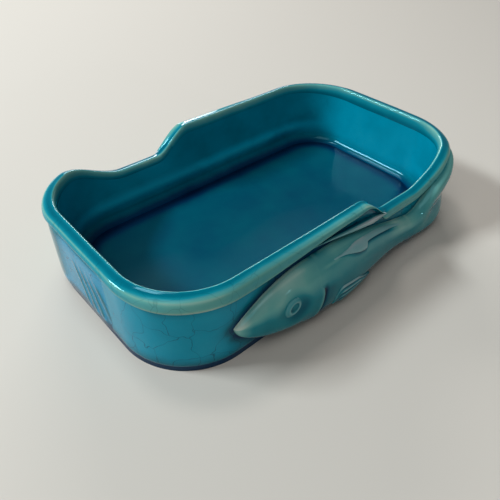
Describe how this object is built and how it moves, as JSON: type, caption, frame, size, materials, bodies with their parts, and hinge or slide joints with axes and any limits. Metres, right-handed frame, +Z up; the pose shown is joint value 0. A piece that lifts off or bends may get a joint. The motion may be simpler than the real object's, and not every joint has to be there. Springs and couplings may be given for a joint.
{
  "type": "fish tin dish",
  "caption": "Rounded oblong glazed ceramic dish that holds an opened fish tin, with a rolled rim dipped for the fingers and a fish in relief along each long side.",
  "frame": {"origin": "middle of the underside, at the level of the table", "axes": "+X along the dish, -Y towards the long side with the front fish, whose head is on the -X side, +Z up"},
  "size_m": [0.141, 0.0962, 0.03],
  "materials": {
    "pooled": "deep teal glaze, pooled thick on the floor, very glossy",
    "wall": "teal glaze with fine crackle, glossy",
    "rim": "turquoise glaze that thins to pale green on the edges, glossy",
    "relief": "grey green glaze, thin on the high places and dark in the hollows, glossy",
    "ridge": "pale celadon glaze, thin over raised edges, glossy"
  },
  "bodies": {
    "root": {"floor_slab": "pooled", "wall_band": "wall", "front_rim_roll": "rim", "back_rim_roll": "rim", "front_fish_head": "relief", "front_fish_trunk": "relief", "front_fish_eye": "ridge", "front_fish_belly_fin": "ridge", "front_fish_side_fin": "ridge", "front_fish_back_fin": "ridge", "front_fish_tail_fin": "relief", "back_fish_head": "relief", "back_fish_trunk": "relief", "back_fish_eye": "ridge", "back_fish_belly_fin": "ridge", "back_fish_side_fin": "ridge", "back_fish_back_fin": "ridge", "back_fish_tail_fin": "relief"}
  },
  "joints": []
}
